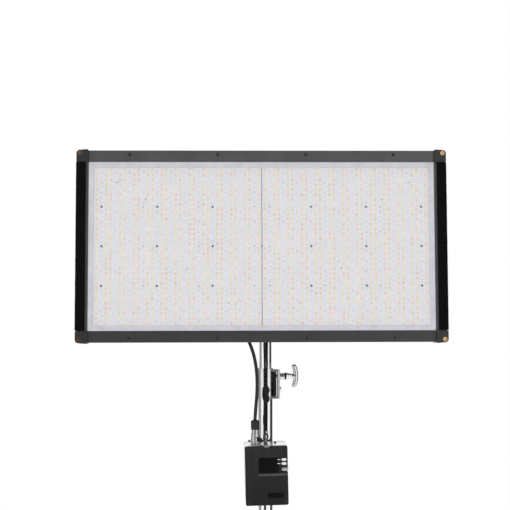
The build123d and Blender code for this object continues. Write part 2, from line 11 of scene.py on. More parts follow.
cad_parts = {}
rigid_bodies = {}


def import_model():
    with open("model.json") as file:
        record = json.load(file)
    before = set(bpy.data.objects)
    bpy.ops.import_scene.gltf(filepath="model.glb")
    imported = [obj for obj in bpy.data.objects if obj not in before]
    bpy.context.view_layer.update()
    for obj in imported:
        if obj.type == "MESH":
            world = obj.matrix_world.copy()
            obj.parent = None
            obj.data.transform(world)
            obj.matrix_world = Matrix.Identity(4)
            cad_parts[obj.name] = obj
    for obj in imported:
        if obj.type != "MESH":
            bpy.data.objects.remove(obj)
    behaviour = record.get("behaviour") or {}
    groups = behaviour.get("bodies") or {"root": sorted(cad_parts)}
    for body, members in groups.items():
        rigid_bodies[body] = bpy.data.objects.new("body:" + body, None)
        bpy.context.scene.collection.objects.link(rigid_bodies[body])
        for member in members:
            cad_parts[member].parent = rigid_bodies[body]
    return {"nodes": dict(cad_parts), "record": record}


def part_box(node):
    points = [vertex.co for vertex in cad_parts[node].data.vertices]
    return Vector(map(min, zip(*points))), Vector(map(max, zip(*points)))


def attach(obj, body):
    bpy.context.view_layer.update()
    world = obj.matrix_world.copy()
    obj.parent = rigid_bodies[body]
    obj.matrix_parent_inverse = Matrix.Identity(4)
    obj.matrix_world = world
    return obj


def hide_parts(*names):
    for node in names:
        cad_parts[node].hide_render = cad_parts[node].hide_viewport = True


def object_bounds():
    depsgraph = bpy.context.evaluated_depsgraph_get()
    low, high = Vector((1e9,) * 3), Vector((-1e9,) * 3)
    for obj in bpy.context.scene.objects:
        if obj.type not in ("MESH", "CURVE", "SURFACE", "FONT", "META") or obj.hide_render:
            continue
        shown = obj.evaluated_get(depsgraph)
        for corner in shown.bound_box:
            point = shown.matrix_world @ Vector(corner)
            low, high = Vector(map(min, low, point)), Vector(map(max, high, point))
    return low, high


for default in list(bpy.data.objects):
    bpy.data.objects.remove(default)

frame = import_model()
CAD_BOX = [list(corner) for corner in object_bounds()]

MM = 0.001

# ---- places in the object, all in metres -------------------------------------

TILT_AXIS = Vector((0.0, -0.050, 0.775))
PANEL_LEAN = math.radians(4.02)
PANEL_OFFSET = Vector((-0.0126, -0.078, 0.0))
PANEL = (Matrix.Translation(TILT_AXIS) @ Matrix.Rotation(-PANEL_LEAN, 4, "X")
         @ Matrix.Translation(PANEL_OFFSET))
BOX_CENTRE = (-0.0005, -0.063, 0.1564)
BOX_YAW, BOX_ROLL = math.radians(1.0), math.radians(-1.2)
BOX_FRONT = (0.0, -0.036, 0.0)
CONTROL = (Matrix.Translation(BOX_CENTRE) @ Matrix.Rotation(BOX_YAW, 4, "Z")
           @ Matrix.Rotation(BOX_ROLL, 4, "Y") @ Matrix.Translation(BOX_FRONT))

BOARD_FRONT = 12.0 * MM
LED_FIRST_X = 8.5 * MM
LED_PITCH_X = 12.46 * MM
LED_PITCH_Z = 13.35 * MM
COLUMNS = 36                 # on each board, in clusters of three
PHOSPHOR_ROWS = 32
DOME_ROWS = 16
RINGED_CLUSTERS = (0, 4, 8)  # from the seam, those whose screws sit in white washers
RAIL_SCREWS = [(x * MM, z * MM) for x in (-356, -119, 119, 356) for z in (-247, 247)]
SOCKET = Vector((-27.2 * MM, 39.3 * MM, 80.5 * MM))      # in the control box's frame
BUTTON_ROWS = (42.6, 31.6)   # millimetres above the control box's middle

HANG = Vector((-0.0008, -0.060, 0.0))
PEG_Z = 0.705
STRAND_TOP_W, STRAND_LOW_W = 7.6, 4.8      # millimetres
STRAP_W, HEM_W, STRAP_T = 10.0 * MM, 9.6 * MM, 1.7 * MM

CABLE_DIAMETER = 0.0092
CABLE_ROUTE = [
    (-0.120, -0.050, 0.775), (-0.162, -0.050, 0.775), (-0.198, -0.050, 0.750),
    (-0.212, -0.050, 0.708), (-0.196, -0.050, 0.664), (-0.165, -0.051, 0.626),
    (-0.126, -0.052, 0.592), (-0.082, -0.054, 0.561), (-0.0515, -0.056, 0.528),
    (-0.0365, -0.058, 0.492), (-0.0275, -0.059, 0.452), (-0.0244, -0.0595, 0.412),
    (-0.0252, -0.060, 0.372), (-0.0286, -0.0602, 0.335), (-0.0309, -0.0602, 0.3013),
]

# ---- node helpers --------------------------------------------------------------


def material(name, color, rough, metal=0.0, **sockets):
    """A Principled material, with constants set straight on the shader's sockets."""
    mat = bpy.data.materials.new(name)
    mat.use_nodes = True
    shader = mat.node_tree.nodes["Principled BSDF"]
    shader.inputs["Base Color"].default_value = (*color, 1.0)
    shader.inputs["Roughness"].default_value = rough
    shader.inputs["Metallic"].default_value = metal
    for socket, value in sockets.items():
        shader.inputs[socket.replace("_", " ")].default_value = value
    return mat


def node(mat, kind, links=None, **values):
    """A shader node with its settings; each input takes an output socket or a constant."""
    made = mat.node_tree.nodes.new(kind)
    for key, value in values.items():
        setattr(made, key, value)
    for socket, source in (links or {}).items():
        if hasattr(source, "is_linked"):
            mat.node_tree.links.new(source, made.inputs[socket])
        else:
            made.inputs[socket].default_value = source
    return made


def shader_of(mat):
    return mat.node_tree.nodes["Principled BSDF"]


def plug(mat, source, socket):
    mat.node_tree.links.new(source, shader_of(mat).inputs[socket])


def grain(mat, scale, stretch=(1.0, 1.0, 1.0), detail=4.0, rough=0.55):
    """Noise in the object's own coordinates, per metre, stretched along an axis."""
    place = node(mat, "ShaderNodeTexCoord").outputs["Object"]
    mapped = node(mat, "ShaderNodeMapping", {"Vector": place, "Scale": stretch}).outputs["Vector"]
    links = {"Vector": mapped, "Scale": scale, "Detail": detail, "Roughness": rough}
    return node(mat, "ShaderNodeTexNoise", links).outputs["Fac"]


def spread(mat, source, low, high, start=0.3, end=0.7):
    """A 0-1 source stretched over start..end and mapped on low..high."""
    links = {"Value": source, "From Min": start, "From Max": end, "To Min": low, "To Max": high}
    return node(mat, "ShaderNodeMapRange", links).outputs["Result"]


def blend_color(mat, factor, first, second):
    """A mix by a factor; the first colour may be a tuple or an output socket."""
    mixer = node(mat, "ShaderNodeMix", data_type="RGBA")
    if isinstance(first, tuple):
        mixer.inputs[6].default_value = (*first, 1.0)
    else:
        mat.node_tree.links.new(first, mixer.inputs[6])
    mixer.inputs[7].default_value = (*second, 1.0)
    mat.node_tree.links.new(factor, mixer.inputs[0])
    return mixer.outputs[2]


def shaded(color, factor):
    return tuple(factor * c for c in color)


def bump(mat, height, strength, distance, rounding=None):
    links = {"Height": height, "Strength": strength, "Distance": distance}
    if rounding:
        links["Normal"] = node(mat, "ShaderNodeBevel", {"Radius": rounding}).outputs["Normal"]
    plug(mat, node(mat, "ShaderNodeBump", links).outputs["Normal"], "Normal")


def edge_mask(mat, radius):
    """1 along convex and concave edges, 0 on flats."""
    soft = node(mat, "ShaderNodeBevel", {"Radius": radius}).outputs["Normal"]
    true = node(mat, "ShaderNodeNewGeometry").outputs["Normal"]
    dot = node(mat, "ShaderNodeVectorMath", {0: soft, 1: true}, operation="DOT_PRODUCT")
    return spread(mat, dot.outputs["Value"], 1.0, 0.0, 0.80, 0.99)


# ---- materials ---------------------------------------------------------------


def painted(name, color, edge, rough=(0.36, 0.5), scale=900.0, radius=0.0006, strength=0.12):
    """Fine textured paint or anodising, a little lighter and smoother on its edges."""
    mat = material(name, color, rough[0])
    speck = grain(mat, scale)
    cloud = grain(mat, 14.0, detail=2.0)
    body = blend_color(mat, spread(mat, cloud, 0.0, 1.0), shaded(color, 0.88), shaded(color, 1.1))
    plug(mat, blend_color(mat, edge_mask(mat, radius), body, edge), "Base Color")
    plug(mat, spread(mat, speck, rough[0], rough[1]), "Roughness")
    bump(mat, speck, strength, 0.00006, rounding=radius)
    return mat


def metal(name, color, rough=(0.05, 0.1), scale=60.0, stretch=(1, 1, 1), strength=0.03,
          radius=0.0004):
    """Plated, cast or brushed metal with faint smears in its gloss."""
    mat = material(name, color, rough[0], 1.0)
    smear = grain(mat, scale, stretch)
    plug(mat, spread(mat, smear, rough[0], rough[1]), "Roughness")
    plug(mat, blend_color(mat, smear, color, shaded(color, 0.93)), "Base Color")
    bump(mat, grain(mat, scale * 6, stretch), strength, 0.00004, rounding=radius)
    return mat


def plastic(name, color, rough=(0.35, 0.45), scale=1400.0, strength=0.15, radius=0.0005,
            **sockets):
    """Moulded plastic or glass with a fine pebble and faint clouds."""
    mat = material(name, color, rough[0], **sockets)
    pebble = grain(mat, scale, detail=2.0)
    cloud = grain(mat, 30.0)
    light = tuple(min(1.0, c) for c in shaded(color, 1.08))
    body = blend_color(mat, spread(mat, cloud, 0.0, 1.0), shaded(color, 0.9), light)
    plug(mat, body, "Base Color")
    plug(mat, spread(mat, pebble, rough[0], rough[1]), "Roughness")
    bump(mat, pebble, strength, 0.00005, rounding=radius)
    return mat


def streaked_plate():
    """Black brushed plate with faint upright streaks, and painted light that makes it paler towards
    its top.
    """
    mat = material("plate_black", (0.02, 0.02, 0.021), 0.38, Specular_IOR_Level=0.25)
    streak = grain(mat, 120.0, (1.0, 1.0, 0.035), detail=5.0)
    place = node(mat, "ShaderNodeTexCoord").outputs["Object"]
    height = node(mat, "ShaderNodeSeparateXYZ", {"Vector": place}).outputs["Z"]
    low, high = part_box("front_plate")[0][2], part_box("front_plate")[1][2]
    # Painted light: the base colour goes from dark at the plate's bottom to paler at its top, as if
    # lit from above.
    rise = spread(mat, height, 0.0, 1.0, low, high)
    base = blend_color(mat, rise, (0.0085, 0.0085, 0.0092), (0.021, 0.021, 0.022))
    base = blend_color(mat, spread(mat, streak, 0.0, 0.55, 0.5, 0.75), base, (0.03, 0.03, 0.0315))
    plug(mat, blend_color(mat, edge_mask(mat, 0.0005), base, (0.08, 0.08, 0.082)), "Base Color")
    plug(mat, spread(mat, streak, 0.34, 0.5), "Roughness")
    bump(mat, grain(mat, 700.0, (1.0, 1.0, 0.05)), 0.12, 0.00005, rounding=0.0005)
    return mat


def board_face():
    """White solder mask with a faint run of copper traces under it."""
    mat = material("board_white", (0.78, 0.77, 0.81), 0.42)
    place = node(mat, "ShaderNodeTexCoord").outputs["Object"]
    links = {"Vector": place, "Scale": 1.0 / (LED_PITCH_Z * 2.0), "Distortion": 0.4, "Detail": 1.0}
    trace = node(mat, "ShaderNodeTexWave", links, bands_direction="Z").outputs["Fac"]
    cloud = grain(mat, 9.0, detail=3.0)
    base = blend_color(mat, spread(mat, cloud, 0.0, 1.0), (0.80, 0.805, 0.85),
                       (0.835, 0.825, 0.875))
    base = blend_color(mat, spread(mat, trace, 0.0, 0.45, 0.8, 1.0), base, (0.73, 0.74, 0.78))
    plug(mat, base, "Base Color")
    plug(mat, spread(mat, grain(mat, 300.0), 0.38, 0.5), "Roughness")
    bump(mat, trace, 0.08, 0.00004)
    return mat


def webbing(name, color):
    """Woven polyester: diagonal ribs across and along the strap, from its UVs in metres."""
    mat = material(name, color, 0.85, Sheen_Weight=0.06, Sheen_Roughness=0.5,
                   Specular_IOR_Level=0.2)
    uv = node(mat, "ShaderNodeUVMap", uv_map="weave").outputs["UV"]
    ribs = []
    for tilt in (0.6, -0.6):
        turned = node(mat, "ShaderNodeMapping", {"Vector": uv, "Rotation": (0.0, 0.0, tilt)})
        links = {"Vector": turned.outputs["Vector"], "Scale": 190.0, "Distortion": 0.3}
        ribs.append(node(mat, "ShaderNodeTexWave", links, bands_direction="X").outputs["Fac"])
    crossed = node(mat, "ShaderNodeMath", {0: ribs[0], 1: ribs[1]}, operation="MULTIPLY")
    weave = crossed.outputs["Value"]
    plug(mat, blend_color(mat, weave, shaded(color, 0.55), shaded(color, 1.7)), "Base Color")
    bump(mat, weave, 0.6, 0.00025)
    return mat


def loop_pile():
    """Black loop fabric, almost without gloss."""
    mat = material("loop_tape", (0.0035, 0.0035, 0.004), 0.95, Sheen_Weight=0.04,
                   Sheen_Roughness=0.4, Specular_IOR_Level=0.1)
    tuft = grain(mat, 1500.0, detail=5.0)
    pile = blend_color(mat, tuft, (0.0015, 0.0015, 0.0018), (0.0065, 0.0065, 0.007))
    plug(mat, pile, "Base Color")
    bump(mat, tuft, 0.8, 0.0004)
    return mat


RAIL_ROUGH, RAIL_GRAIN = (0.32, 0.44), 1100.0


def make_materials():
    """One look for each material slot of the CAD nodes."""
    grey, dark = (0.060, 0.0605, 0.061), (0.020, 0.0203, 0.0235)
    return {
        "frame_grey": painted("frame_grey", grey, (0.13, 0.132, 0.132), RAIL_ROUGH, RAIL_GRAIN),
        "cap_black": painted("cap_black", dark, (0.09, 0.09, 0.094), (0.42, 0.56), 800.0),
        "brass": metal("brass", (0.80, 0.50, 0.26), rough=(0.14, 0.26), scale=300.0, strength=0.1),
        "black_steel": painted("black_steel", (0.015, 0.015, 0.016), (0.06, 0.06, 0.06),
                               rough=(0.3, 0.42)),
        "loop_tape": loop_pile(),
        "liner_white": plastic("liner_white", (0.66, 0.66, 0.71), rough=(0.4, 0.5), strength=0.06),
        "board_white": board_face(),
        "aluminium": metal("aluminium", (0.50, 0.54, 0.62), rough=(0.3, 0.42), scale=90.0,
                           stretch=(0.05, 1.0, 1.0), strength=0.1),
        "cover_black": painted("cover_black", (0.021, 0.021, 0.022), (0.07, 0.07, 0.072),
                               scale=700.0, strength=0.2),
        "chrome": metal("chrome", (0.93, 0.935, 0.94)),
        "cast_chrome": metal("cast_chrome", (0.82, 0.82, 0.83), rough=(0.14, 0.24), scale=220.0,
                             strength=0.07),
        "black_plastic": plastic("black_plastic", (0.007, 0.007, 0.0075), Specular_IOR_Level=0.3),
        "rubber": plastic("rubber", (0.011, 0.011, 0.012), rough=(0.42, 0.58), scale=900.0),
        "webbing": webbing("webbing", (0.0065, 0.0065, 0.007)),
        "silver_body": metal("silver_body", (0.86, 0.865, 0.87), rough=(0.24, 0.34), scale=400.0,
                             stretch=(1.0, 1.0, 0.1), strength=0.06, radius=0.0008),
        "plate_black": streaked_plate(),
        "screen_glass": plastic("screen_glass", (0.0065, 0.0065, 0.0075), rough=(0.06, 0.1),
                                scale=200.0, strength=0.01, Coat_Weight=0.3),
        "button_white": plastic("button_white", (0.86, 0.86, 0.85), rough=(0.32, 0.42),
                                strength=0.05),
        "knob_grey": metal("knob_grey", (0.68, 0.68, 0.69), rough=(0.28, 0.4), scale=300.0,
                           strength=0.08),
        "plated_steel": metal("plated_steel", (0.62, 0.63, 0.65), rough=(0.2, 0.3), scale=200.0,
                              strength=0.08),
        "circuit_green": plastic("circuit_green", (0.012, 0.09, 0.035), rough=(0.3, 0.4)),
        "nylon": plastic("nylon", (0.88, 0.88, 0.87), rough=(0.4, 0.5)),
    }


# ---- mesh helpers ----------------------------------------------------------------


class Shape:
    """Gathers vertices and faces in a local frame and makes one object of them."""

    def __init__(self):
        self.points = []
        self.faces = []

    def rings(self, rings, closed_ends=True):
        """Joins rings of equal count into a skin, with flat ends."""
        start = len(self.points)
        count = len(rings[0])
        for ring in rings:
            self.points += ring
        for level in range(len(rings) - 1):
            low = start + level * count
            for i in range(count):
                j = (i + 1) % count
                self.faces.append((low + i, low + j, low + count + j, low + count + i))
        if closed_ends:
            self.faces.append(tuple(range(start, start + count)))
            last = start + (len(rings) - 1) * count
            self.faces.append(tuple(range(last + count - 1, last - 1, -1)))

    def make(self, name, place, look, body, slot, smooth=True, sharp=40.0):
        mesh = bpy.data.meshes.new(name)
        mesh.from_pydata([place @ Vector(p) for p in self.points], [], self.faces)
        work = bmesh.new()
        work.from_mesh(mesh)
        bmesh.ops.recalc_face_normals(work, faces=work.faces)
        work.to_mesh(mesh)
        work.free()
        if smooth:
            mesh.shade_smooth()
            mesh.set_sharp_from_angle(angle=math.radians(sharp))
        mesh.materials.append(look)
        made = bpy.data.objects.new(name, mesh)
        bpy.context.scene.collection.objects.link(made)
        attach(made, body)
        return made


def oval(centre, half_w, half_h, y, count=12, power=2.0):
    """A superellipse in X and Z at depth y: an ellipse at power 2, a rounded box above it."""
    ring = []
    for i in range(count):
        turn = 2 * math.pi * (i + 0.5) / count
        cos, sin = math.cos(turn), math.sin(turn)
        x = math.copysign(abs(cos) ** (2 / power), cos) * half_w
        z = math.copysign(abs(sin) ** (2 / power), sin) * half_h
        ring.append((centre[0] + x, y, centre[1] + z))
    return ring


def smooth_outline(points, steps=5):
    """A closed curve through the points of an outline (Catmull-Rom)."""
    out = []
    count = len(points)
    for i in range(count):
        p0, p1, p2, p3 = (Vector(points[(i + k - 1) % count]) for k in range(4))
        for s in range(steps):
            t = s / steps
            out.append(0.5 * (2 * p1 + (p2 - p0) * t + (2 * p0 - 5 * p1 + 4 * p2 - p3) * t * t
                              + (3 * p1 - p0 - 3 * p2 + p3) * t ** 3))
    return out


# ---- camera, light and stage -----------------------------------------------------


CAMERA_PLACE = (-0.0897, -2.928, 0.7558)
CAMERA_LENS = 73.6
CAMERA_YAW, CAMERA_ROLL = math.radians(-1.188), math.radians(0.06)
FLOOR_DROP = 0.9             # the rest of the stand would reach down to the floor
FLOOR_HALF = 3.2


def make_camera():
    data = bpy.data.cameras.new("camera")
    data.lens = CAMERA_LENS
    data.sensor_width = 36.0
    camera = bpy.data.objects.new("camera", data)
    camera.location = CAMERA_PLACE
    camera.rotation_euler = (math.radians(90.0), CAMERA_ROLL, CAMERA_YAW)
    bpy.context.scene.collection.objects.link(camera)
    bpy.context.scene.camera = camera


STUDIO_BANDS = [       # azimuth in degrees from the front, brightness
    (-180, 1.0), (-152, 1.0), (-146, 0.30), (-78, 0.30), (-72, 1.0), (-31, 1.0), (-26, 0.03),
    (5, 0.03), (10, 1.0), (72, 1.0), (78, 0.045), (138, 0.045), (144, 1.0), (180, 1.0),
]


def make_world():
    """White to the camera, a soft gradient to matt surfaces, and dark flags to gloss."""
    world = bpy.data.worlds.new("studio")
    world.use_nodes = True
    bpy.context.scene.world = world
    tree = world.node_tree
    tree.nodes.clear()
    place = tree.nodes.new("ShaderNodeTexCoord")
    split = tree.nodes.new("ShaderNodeSeparateXYZ")
    tree.links.new(place.outputs["Generated"], split.inputs["Vector"])
    back = tree.nodes.new("ShaderNodeMath")
    back.operation = "MULTIPLY"
    back.inputs[1].default_value = -1.0
    tree.links.new(split.outputs["Y"], back.inputs[0])
    turn = tree.nodes.new("ShaderNodeMath")
    turn.operation = "ARCTAN2"
    tree.links.new(split.outputs["X"], turn.inputs[0])
    tree.links.new(back.outputs["Value"], turn.inputs[1])
    unit = tree.nodes.new("ShaderNodeMapRange")
    unit.inputs["From Min"].default_value = -math.pi
    unit.inputs["From Max"].default_value = math.pi
    tree.links.new(turn.outputs["Value"], unit.inputs["Value"])
    bands = tree.nodes.new("ShaderNodeValToRGB")
    bands.color_ramp.elements[0].color = (1.0, 1.0, 1.0, 1.0)
    steps = bands.color_ramp.elements
    for azimuth, level in STUDIO_BANDS[1:-1]:
        steps.new((azimuth + 180) / 360).color = (level, level, level, 1.0)
    tree.links.new(unit.outputs["Result"], bands.inputs["Fac"])
    soft = tree.nodes.new("ShaderNodeValToRGB")
    soft.color_ramp.elements[0].color = (0.62, 0.62, 0.635, 1.0)
    soft.color_ramp.elements[1].color = (0.98, 0.98, 0.985, 1.0)
    level = tree.nodes.new("ShaderNodeMapRange")
    level.inputs["From Min"].default_value = -1.0
    tree.links.new(split.outputs["Z"], level.inputs["Value"])
    tree.links.new(level.outputs["Result"], soft.inputs["Fac"])
    path = tree.nodes.new("ShaderNodeLightPath")
    gloss = tree.nodes.new("ShaderNodeMix")
    gloss.data_type = "RGBA"
    tree.links.new(path.outputs["Is Glossy Ray"], gloss.inputs[0])
    tree.links.new(soft.outputs["Color"], gloss.inputs[6])
    tree.links.new(bands.outputs["Color"], gloss.inputs[7])
    seen = tree.nodes.new("ShaderNodeMix")
    seen.data_type = "RGBA"
    seen.inputs[7].default_value = (1.0, 1.0, 1.0, 1.0)
    tree.links.new(path.outputs["Is Camera Ray"], seen.inputs[0])
    tree.links.new(gloss.outputs[2], seen.inputs[6])
    background = tree.nodes.new("ShaderNodeBackground")
    tree.links.new(seen.outputs[2], background.inputs["Color"])
    output = tree.nodes.new("ShaderNodeOutputWorld")
    tree.links.new(background.outputs["Background"], output.inputs["Surface"])


def make_floor():
    floor_z = CAD_BOX[0][2] - FLOOR_DROP
    mesh = bpy.data.meshes.new("floor")
    corners = [(x * FLOOR_HALF, y * FLOOR_HALF, floor_z)
               for x, y in ((-1, -1), (1, -1), (1, 1), (-1, 1))]
    mesh.from_pydata(corners, [], [(0, 1, 2, 3)])
    mat = material("studio_floor", (0.9, 0.9, 0.9), 0.9, Emission_Color=(1, 1, 1, 1),
                   Emission_Strength=0.22)
    mesh.materials.append(mat)
    floor = bpy.data.objects.new("floor", mesh)
    bpy.context.scene.collection.objects.link(floor)


def make_lights():
    for name, place, aim, size, power in (
            ("key", (-1.4, -2.4, 2.6), (0.0, 0.0, 0.75), 1.6, 4.0),
            ("top", (0.3, -0.8, 2.9), (0.0, -0.1, 0.9), 1.8, 3.0)):
        data = bpy.data.lights.new(name, "AREA")
        data.size = size
        data.energy = power
        lamp = bpy.data.objects.new(name, data)
        lamp.location = place
        lamp.rotation_euler = (Vector(aim) - Vector(place)).to_track_quat("-Z", "Y").to_euler()
        bpy.context.scene.collection.objects.link(lamp)


# ---- the cable --------------------------------------------------------------------


def make_cable(look):
    curve = bpy.data.curves.new("panel_cable", "CURVE")
    curve.dimensions = "3D"
    curve.bevel_depth = CABLE_DIAMETER / 2
    curve.bevel_resolution = 6
    curve.resolution_u = 14
    curve.use_fill_caps = True
    spline = curve.splines.new("NURBS")
    spline.points.add(len(CABLE_ROUTE) - 1)
    for point, place in zip(spline.points, CABLE_ROUTE):
        point.co = (*place, 1.0)
    spline.order_u = 3
    spline.use_endpoint_u = True
    curve.materials.append(look)
    cable = bpy.data.objects.new("panel_cable", curve)
    bpy.context.scene.collection.objects.link(cable)
    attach(cable, "head")
    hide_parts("cable")


# ---- LEDs and small parts on the boards -----------------------------------------------


def led_x(side, column):
    return side * (LED_FIRST_X + LED_PITCH_X * column)


def add_dome(shape, x, z, half_w, half_h, rise, power, count=10):
    """One emitter: a short wall, a rounded shoulder and a low crown."""
    front = BOARD_FRONT
    levels = ((1.0, 0.0), (0.98, 0.45), (0.8, 0.82), (0.42, 1.0))
    shape.rings([oval((x, z), half_w * s, half_h * s, front - rise * h, count, power)
                 for s, h in levels])


def phosphor_looks():
    """Three tints of phosphor under clear silicone."""
    tints = {"warm": (0.93, 0.70, 0.53), "cool": (0.86, 0.83, 0.60), "pale": (0.88, 0.79, 0.68)}
    looks = {}
    for name, color in tints.items():
        looks[name] = plastic(f"phosphor_{name}", color, rough=(0.2, 0.34), scale=700.0,
                              strength=0.1, radius=0.0003, Coat_Weight=0.15)
    return looks


def make_phosphor_leds():
    """Warm and cool emitters in a checker on the outer columns of each cluster."""
    pick = random.Random(7)
    shapes = {"warm": Shape(), "cool": Shape(), "pale": Shape()}
    for side in (-1, 1):
        for column in range(COLUMNS):
            if column % 3 == 1:
                continue
            phase = (column % 3 == 0) == (side < 0)
            for row in range(PHOSPHOR_ROWS):
                z = (row - (PHOSPHOR_ROWS - 1) / 2) * LED_PITCH_Z
                tint = "warm" if (row % 2 == 0) == phase else "cool"
                chance = pick.random()
                if chance < 0.16:
                    tint = "pale"
                elif chance < 0.26:
                    tint = "cool" if tint == "warm" else "warm"
                add_dome(shapes[tint], led_x(side, column), z, 3.5 * MM, 4.2 * MM, 1.1 * MM, 3.2)
    looks = phosphor_looks()
    for tint, shape in shapes.items():
        shape.make(f"phosphor_leds_{tint}", PANEL, looks[tint], "panel", "board_white")


PAD_HALF, PAD_RISE = 3.6 * MM, 0.35 * MM
DOME_RADIUS, DOME_RISE = 2.7 * MM, 2.2 * MM


def make_dome_leds():
    """Clear domes on square pads along the middle column of each cluster."""
    domes, pads = Shape(), Shape()
    for side in (-1, 1):
        for column in range(1, COLUMNS, 3):
            for row in range(DOME_ROWS):
                z = (DOME_ROWS - 1 - 2 * row) * LED_PITCH_Z
                x = led_x(side, column)
                add_dome(pads, x, z, PAD_HALF, PAD_HALF, PAD_RISE, 4.0)
                front = BOARD_FRONT - PAD_RISE
                rings = []
                for step in range(5):
                    lift = math.radians(80 * step / 4)
                    radius = DOME_RADIUS * math.cos(lift)
                    depth = front - DOME_RISE * math.sin(lift)
                    rings.append(oval((x, z), radius, radius, depth, 14))
                domes.rings(rings)
    clear = plastic("led_dome", (0.92, 0.93, 0.95), rough=(0.08, 0.14), scale=300.0,
                    strength=0.02, Coat_Weight=0.4)
    domes.make("led_domes", PANEL, clear, "panel", "board_white")
    pad = plastic("led_pad", (0.70, 0.71, 0.72), rough=(0.3, 0.4))
    pads.make("led_pads", PANEL, pad, "panel", "board_white")


def add_box(shape, x, z, width, height, y_back, y_front, inset=0.85):
    """A small chip with slanted sides."""
    rings = []
    for y, s in ((y_back, 1.0), (y_front, inset)):
        w, h = width / 2 * s, height / 2 * s
        rings.append([(x - w, y, z - h), (x + w, y, z - h), (x + w, y, z + h), (x - w, y, z + h)])
    shape.rings(rings)


def make_chips():
    """Resistors beside the domes, and a few dark driver chips."""
    pick = random.Random(11)
    resistors, drivers = Shape(), Shape()
    for side in (-1, 1):
        for column in range(1, COLUMNS, 3):
            for row in range(DOME_ROWS - 1):
                z = (DOME_ROWS - 2 - 2 * row) * LED_PITCH_Z
                x = led_x(side, column) + pick.choice((-1, 1)) * 4.2 * MM
                add_box(resistors, x, z + pick.uniform(-2, 2) * MM, 1.1 * MM, 2.0 * MM,
                        BOARD_FRONT, BOARD_FRONT - 0.5 * MM)
        for column, row in ((25, 9.5), (16, -4.5), (31, 13.0), (7, -11.5)):
            add_box(drivers, led_x(side, column) + 6.2 * MM, row * LED_PITCH_Z, 1.8 * MM, 3.4 * MM,
                    BOARD_FRONT, BOARD_FRONT - 0.8 * MM)
    grey = plastic("chip_grey", (0.42, 0.43, 0.47), rough=(0.3, 0.45))
    resistors.make("board_resistors", PANEL, grey, "panel", "board_white", smooth=False)
    black = plastic("chip_black", (0.05, 0.05, 0.055), rough=(0.35, 0.5))
    drivers.make("board_drivers", PANEL, black, "panel", "board_white", smooth=False)


def make_screw_washers(look):
    """White washers round some of the screws that hold the boards."""
    washers = Shape()
    profile = ((4.4, 0.0), (4.3, 1.1), (3.9, 1.5), (1.9, 1.55), (1.5, 1.35), (1.5, 1.25))
    for side in (-1, 1):
        for cluster in RINGED_CLUSTERS:
            x = led_x(side, 3 * cluster + 1)
            for row in (-1, 0, 1):
                z = 8 * row * LED_PITCH_Z
                rings = [oval((x, z), r * MM, r * MM, BOARD_FRONT - h * MM, 24)
                         for r, h in profile]
                washers.rings(rings + [rings[0]], closed_ends=False)
    made = washers.make("screw_washers", PANEL, look, "panel", "nylon")
    work = bmesh.new()
    work.from_mesh(made.data)
    bmesh.ops.remove_doubles(work, verts=work.verts, dist=1e-7)
    bmesh.ops.recalc_face_normals(work, faces=work.faces)
    work.to_mesh(made.data)
    work.free()


def make_seam_pin(look):
    """The small dark rivet where the two boards meet."""
    pin = Shape()
    profile = ((2.0, 0.0), (2.0, 0.5), (1.6, 0.95), (0.7, 1.15))
    pin.rings([oval((0, 0), r * MM, r * MM, BOARD_FRONT - h * MM, 16) for r, h in profile])
    pin.make("seam_pin", PANEL, look, "panel", "black_steel")


# ---- loop tapes on the panel's sides -----------------------------------------------


def tape_section(side):
    """Cross-section in X and Y, from the inner front edge round to the side's back edge."""
    inner, outer = 0.4735, 0.500
    base = 0.497
    corner = 1.6 * MM
    steps = 10
    front = [(inner + 0.5 * MM + (outer - corner - inner - 0.5 * MM) * i / steps, -2.6 * MM)
             for i in range(steps + 1)]
    curve = [(outer - corner * (1 - math.sin(a)), -2.6 * MM + corner * (1 - math.cos(a)))
             for a in (0.4, 0.8, 1.2)]
    flank = [(outer, -1.0 * MM + 44.5 * MM * i / steps) for i in range(steps + 1)]
    back = [(base, 44.0 * MM), (base, 0.0), (inner, 0.0), (inner, -2.0 * MM)]
    pile = len(front) + len(curve) + len(flank)
    return [(side * x, y) for x, y in front + curve + flank + back], pile


def add_loop(shape, place, out, along, size):
    """One tiny thread loop standing on the pile."""
    arc, thick = 6, 0.11 * MM
    across = out.cross(along).normalized()
    rings = []
    for i in range(arc + 1):
        turn = math.pi * i / arc
        centre = place + along * (size * math.cos(turn)) + out * (size * 1.3 * math.sin(turn))
        spoke = (along * math.cos(turn) + out * math.sin(turn)).normalized()
        rings.append([tuple(centre + thick * (spoke * math.cos(b) + across * math.sin(b)))
                      for b in (0.0, 2.1, 4.2)])
    shape.rings(rings)


TAPE_HALF_H = 0.2265
TAPE_ROWS = 190
TAPE_LOOPS = 1500


